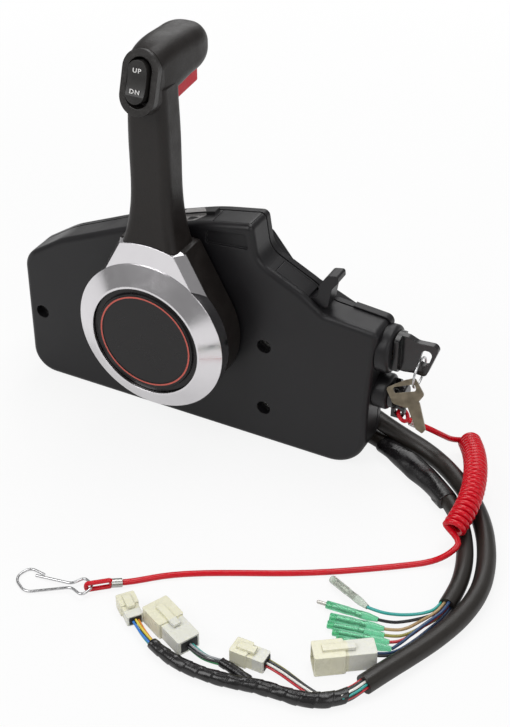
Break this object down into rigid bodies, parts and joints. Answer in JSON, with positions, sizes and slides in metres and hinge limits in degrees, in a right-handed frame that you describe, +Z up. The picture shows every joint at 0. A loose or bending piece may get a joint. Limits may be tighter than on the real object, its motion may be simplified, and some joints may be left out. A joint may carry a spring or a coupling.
{
  "type": "boat throttle control lever",
  "caption": "Side-mount boat throttle and shift control: black case with a swinging lever, trim switch, key switch, lanyard stop switch and wiring harness.",
  "frame": {"origin": "on the case's flat base, under the lever's pivot axis, midway through the case's depth", "axes": "+X along the case towards the key switch, +Y from the operator's side to the hull, +Z up"},
  "size_m": [0.3942, 0.2822, 0.2955],
  "materials": {
    "black_shell": "fine satin texture",
    "black_arm": "soft satin",
    "gloss_black": "glossy",
    "chrome_cover": "bright",
    "red_plastic": "glossy",
    "label_plastic": "fine satin",
    "zinc_steel": "zinc plated",
    "steel_wire": "drawn",
    "key_steel": "nickel plated, brushed",
    "brass_part": "satin",
    "gear_plastic": "satin",
    "cast_arm": "die cast",
    "grommet_rubber": "dull",
    "harness_sleeve": "ribbed loom",
    "harness_tape": "vinyl tape",
    "wire_cover": "insulation",
    "nylon_cream": "moulded nylon",
    "bullet_sleeve": "translucent",
    "lanyard_red": "smooth",
    "clear_ferrule": "translucent"
  },
  "bodies": {
    "case": {"front_case": "black_shell", "rear_case": "black_shell", "back_plate": "black_shell", "stop_switch": "black_shell", "top_panel": "black_shell", "position_plate": "label_plastic", "back_screws": "zinc_steel", "mount_sleeves": "zinc_steel", "arm_posts": "zinc_steel", "accelerator_pin": "zinc_steel", "detent_spring": "steel_wire", "snap_hook": "steel_wire", "cord_ferrule": "steel_wire", "lock_nut": "gloss_black", "shaft_bushes": "brass_part", "lock_body": "brass_part", "neutral_lock_ring": "cast_arm", "neutral_switch": "label_plastic", "harness_grommet": "grommet_rubber", "thick_sleeve": "harness_sleeve", "thin_sleeve": "harness_sleeve", "taped_tail": "harness_tape", "small_wires": "wire_cover", "wide_wires": "wire_cover", "mid_wires": "wire_cover", "large_wires": "wire_cover", "bullet_wires": "wire_cover", "bullet_sleeves": "bullet_sleeve", "connector_small": "nylon_cream", "connector_wide": "nylon_cream", "connector_mid": "nylon_cream", "connector_large": "nylon_cream", "lanyard_lead": "lanyard_red", "lanyard_coil": "lanyard_red", "lanyard_long": "lanyard_red"},
    "lever": {"lever_arm": "black_arm", "hub_cover": "chrome_cover", "hub_cap": "gloss_black", "cap_ring": "red_plastic", "hub_bolt": "zinc_steel", "main_shaft": "zinc_steel", "drive_gear": "gear_plastic", "detent_wheel": "gear_plastic", "rocker_bezel": "gloss_black", "lock_spring": "steel_wire"},
    "trim_switch": {"trim_rocker": "gloss_black"},
    "neutral_trigger": {"lock_trigger": "red_plastic", "lock_rod": "zinc_steel"},
    "shift": {"shift_arm": "gear_plastic"},
    "throttle": {"throttle_arm": "gear_plastic"},
    "accelerator": {"accelerator_lever": "black_shell"},
    "key_barrel": {"lock_rotor": "brass_part"},
    "key": {"key_head": "gloss_black", "key_blade": "key_steel"},
    "ring": {"key_ring": "steel_wire"},
    "spare": {"spare_key": "key_steel"},
    "button": {"stop_button": "red_plastic"},
    "clip": {"lanyard_clip": "red_plastic", "lead_ferrule": "clear_ferrule"}
  },
  "joints": [
    {"name": "lever_swing", "type": "hinge", "parent": "case", "child": "lever", "pos_m": [0, 0, 0.0867], "axis": [0, 1, 0], "range_deg": [-70, 70]},
    {"name": "trim_rock", "type": "hinge", "parent": "lever", "child": "trim_switch", "pos_m": [0, -0.0556, 0.27236], "axis": [1, 0, 0], "range_deg": [-7, 7], "stiffness_Nm_per_rad": 0.2},
    {"name": "trigger_lift", "type": "slide", "parent": "lever", "child": "neutral_trigger", "axis": [0, 0, 1], "range_m": [0, 0.004], "stiffness_N_per_m": 400, "springref_m": -0.003, "deforming": ["lock_spring"]},
    {"name": "shift_turn", "type": "hinge", "parent": "case", "child": "shift", "pos_m": [-0.03536, 0, 0.05134], "axis": [0, 1, 0], "range_deg": [-70, 70]},
    {"name": "throttle_turn", "type": "hinge", "parent": "case", "child": "throttle", "pos_m": [0.03536, 0, 0.05134], "axis": [0, 1, 0], "range_deg": [-70, 70]},
    {"name": "accelerator_lift", "type": "hinge", "parent": "case", "child": "accelerator", "pos_m": [0.082, 0, 0.1346], "axis": [0, -1, 0], "range_deg": [0, 35]},
    {"name": "key_turn", "type": "hinge", "parent": "case", "child": "key_barrel", "pos_m": [0.1516, -0.013, 0.0966], "axis": [1, 0, 0], "range_deg": [-70, 0]},
    {"name": "key_pull", "type": "slide", "parent": "key_barrel", "child": "key", "axis": [1, 0, 0], "range_m": [0, 0.03]},
    {"name": "ring_swing", "type": "hinge", "parent": "key", "child": "ring", "pos_m": [0.1785, -0.013, 0.0949], "axis": [1, 0, 0], "range_deg": [-10, 0]},
    {"name": "spare_swing", "type": "hinge", "parent": "ring", "child": "spare", "pos_m": [0.1775, -0.0217, 0.0775], "axis": [1, 0, 0], "range_deg": [-15, 0]},
    {"name": "stop_pull", "type": "slide", "parent": "case", "child": "button", "axis": [1, 0, 0], "range_m": [0, 0.002], "stiffness_N_per_m": 500, "springref_m": -0.004},
    {"name": "clip_slide", "type": "slide", "parent": "case", "child": "clip", "axis": [0, 0, -1], "range_m": [0, 0.016], "deforming": ["lanyard_lead"]}
  ],
  "couplings": [
    {"joint": "shift_turn", "follows": "lever_swing", "ratio": -1},
    {"joint": "throttle_turn", "follows": "lever_swing", "ratio": -1}
  ]
}
